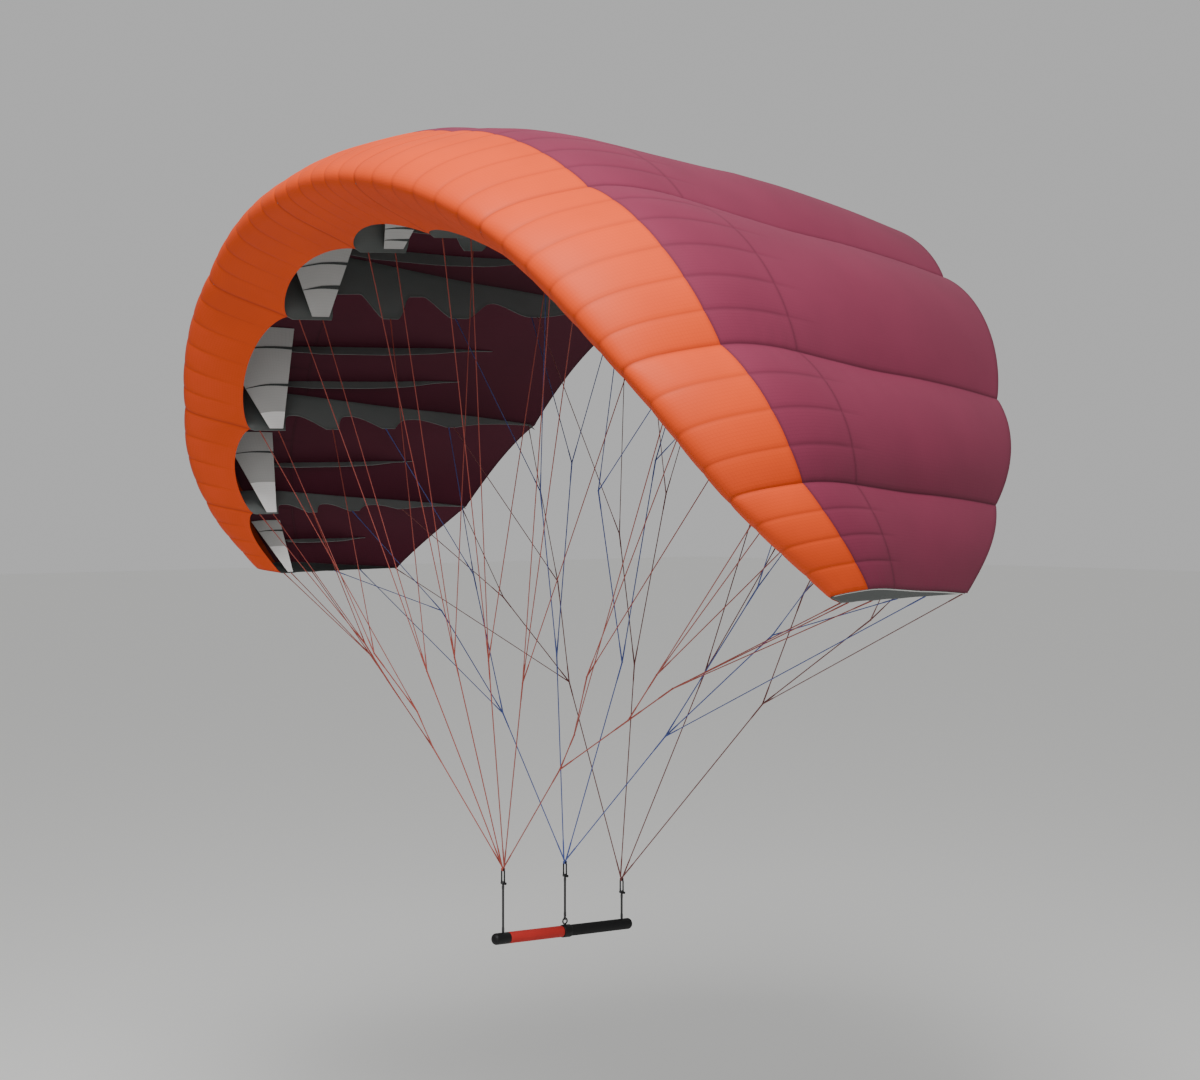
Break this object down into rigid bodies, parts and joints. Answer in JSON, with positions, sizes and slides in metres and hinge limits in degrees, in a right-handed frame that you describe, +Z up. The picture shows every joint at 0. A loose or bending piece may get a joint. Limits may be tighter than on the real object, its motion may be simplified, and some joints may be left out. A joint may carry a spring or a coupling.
{
  "type": "parawing",
  "caption": "Single-skin arched kite wing with ribs, fans of taut lines in three rows and a short bar that is held by hand.",
  "frame": {"origin": "the middle of the bar, on its axis, where the hands hold the part", "axes": "+X across the span towards one tip, +Y back from the leading edge along the bar, +Z up from the bar to the top of the arch; the halves are alike about X = 0"},
  "size_m": [2.3938, 1.7122, 2.1246],
  "materials": {
    "orange_cloth": "thin coated sailcloth, slightly glossy",
    "maroon_cloth": "thin coated sailcloth, slightly glossy",
    "rib_cloth": "firm dark grey sailcloth, matte",
    "pale_cloth": "thin pale grey sailcloth, matte",
    "red_line": "braided line",
    "blue_line": "braided line",
    "dark_red_line": "braided line",
    "dark_metal": "dark finished steel, satin",
    "black_webbing": "stiff black cord, matte",
    "black_grip": "black foam grip, matte",
    "red_grip": "red foam grip, matte"
  },
  "bodies": {
    "root": {"leading_edge_cloth": "orange_cloth", "front_top_cloth": "maroon_cloth", "rear_top_cloth": "maroon_cloth", "rib_1_left": "rib_cloth", "rib_2_left": "rib_cloth", "rib_3_left": "rib_cloth", "rib_4_left": "rib_cloth", "tip_rib_left": "rib_cloth", "slant_panel_1_left": "pale_cloth", "fin_1a_left": "rib_cloth", "slant_panel_2_left": "pale_cloth", "fin_2a_left": "rib_cloth", "fin_2b_left": "rib_cloth", "slant_panel_3_left": "pale_cloth", "fin_3a_left": "rib_cloth", "fin_3b_left": "rib_cloth", "slant_panel_4_left": "pale_cloth", "fin_4a_left": "rib_cloth", "slant_panel_5_left": "pale_cloth", "fin_5a_left": "rib_cloth", "front_lines_left": "red_line", "centre_lines_left": "blue_line", "rear_lines_left": "dark_red_line", "rib_1_right": "rib_cloth", "rib_2_right": "rib_cloth", "rib_3_right": "rib_cloth", "rib_4_right": "rib_cloth", "tip_rib_right": "rib_cloth", "slant_panel_1_right": "pale_cloth", "fin_1a_right": "rib_cloth", "slant_panel_2_right": "pale_cloth", "fin_2a_right": "rib_cloth", "fin_2b_right": "rib_cloth", "slant_panel_3_right": "pale_cloth", "fin_3a_right": "rib_cloth", "fin_3b_right": "rib_cloth", "slant_panel_4_right": "pale_cloth", "fin_4a_right": "rib_cloth", "slant_panel_5_right": "pale_cloth", "fin_5a_right": "rib_cloth", "front_lines_right": "red_line", "centre_lines_right": "blue_line", "rear_lines_right": "dark_red_line", "front_shackle": "dark_metal", "front_strap": "black_webbing", "centre_shackle": "dark_metal", "centre_strap": "black_webbing", "rear_shackle": "dark_metal", "rear_strap": "black_webbing", "bar_front_cap": "black_grip", "bar_red_grip": "red_grip", "bar_middle_band": "black_grip", "bar_black_grip": "black_grip", "bar_eye": "dark_metal"}
  },
  "joints": []
}
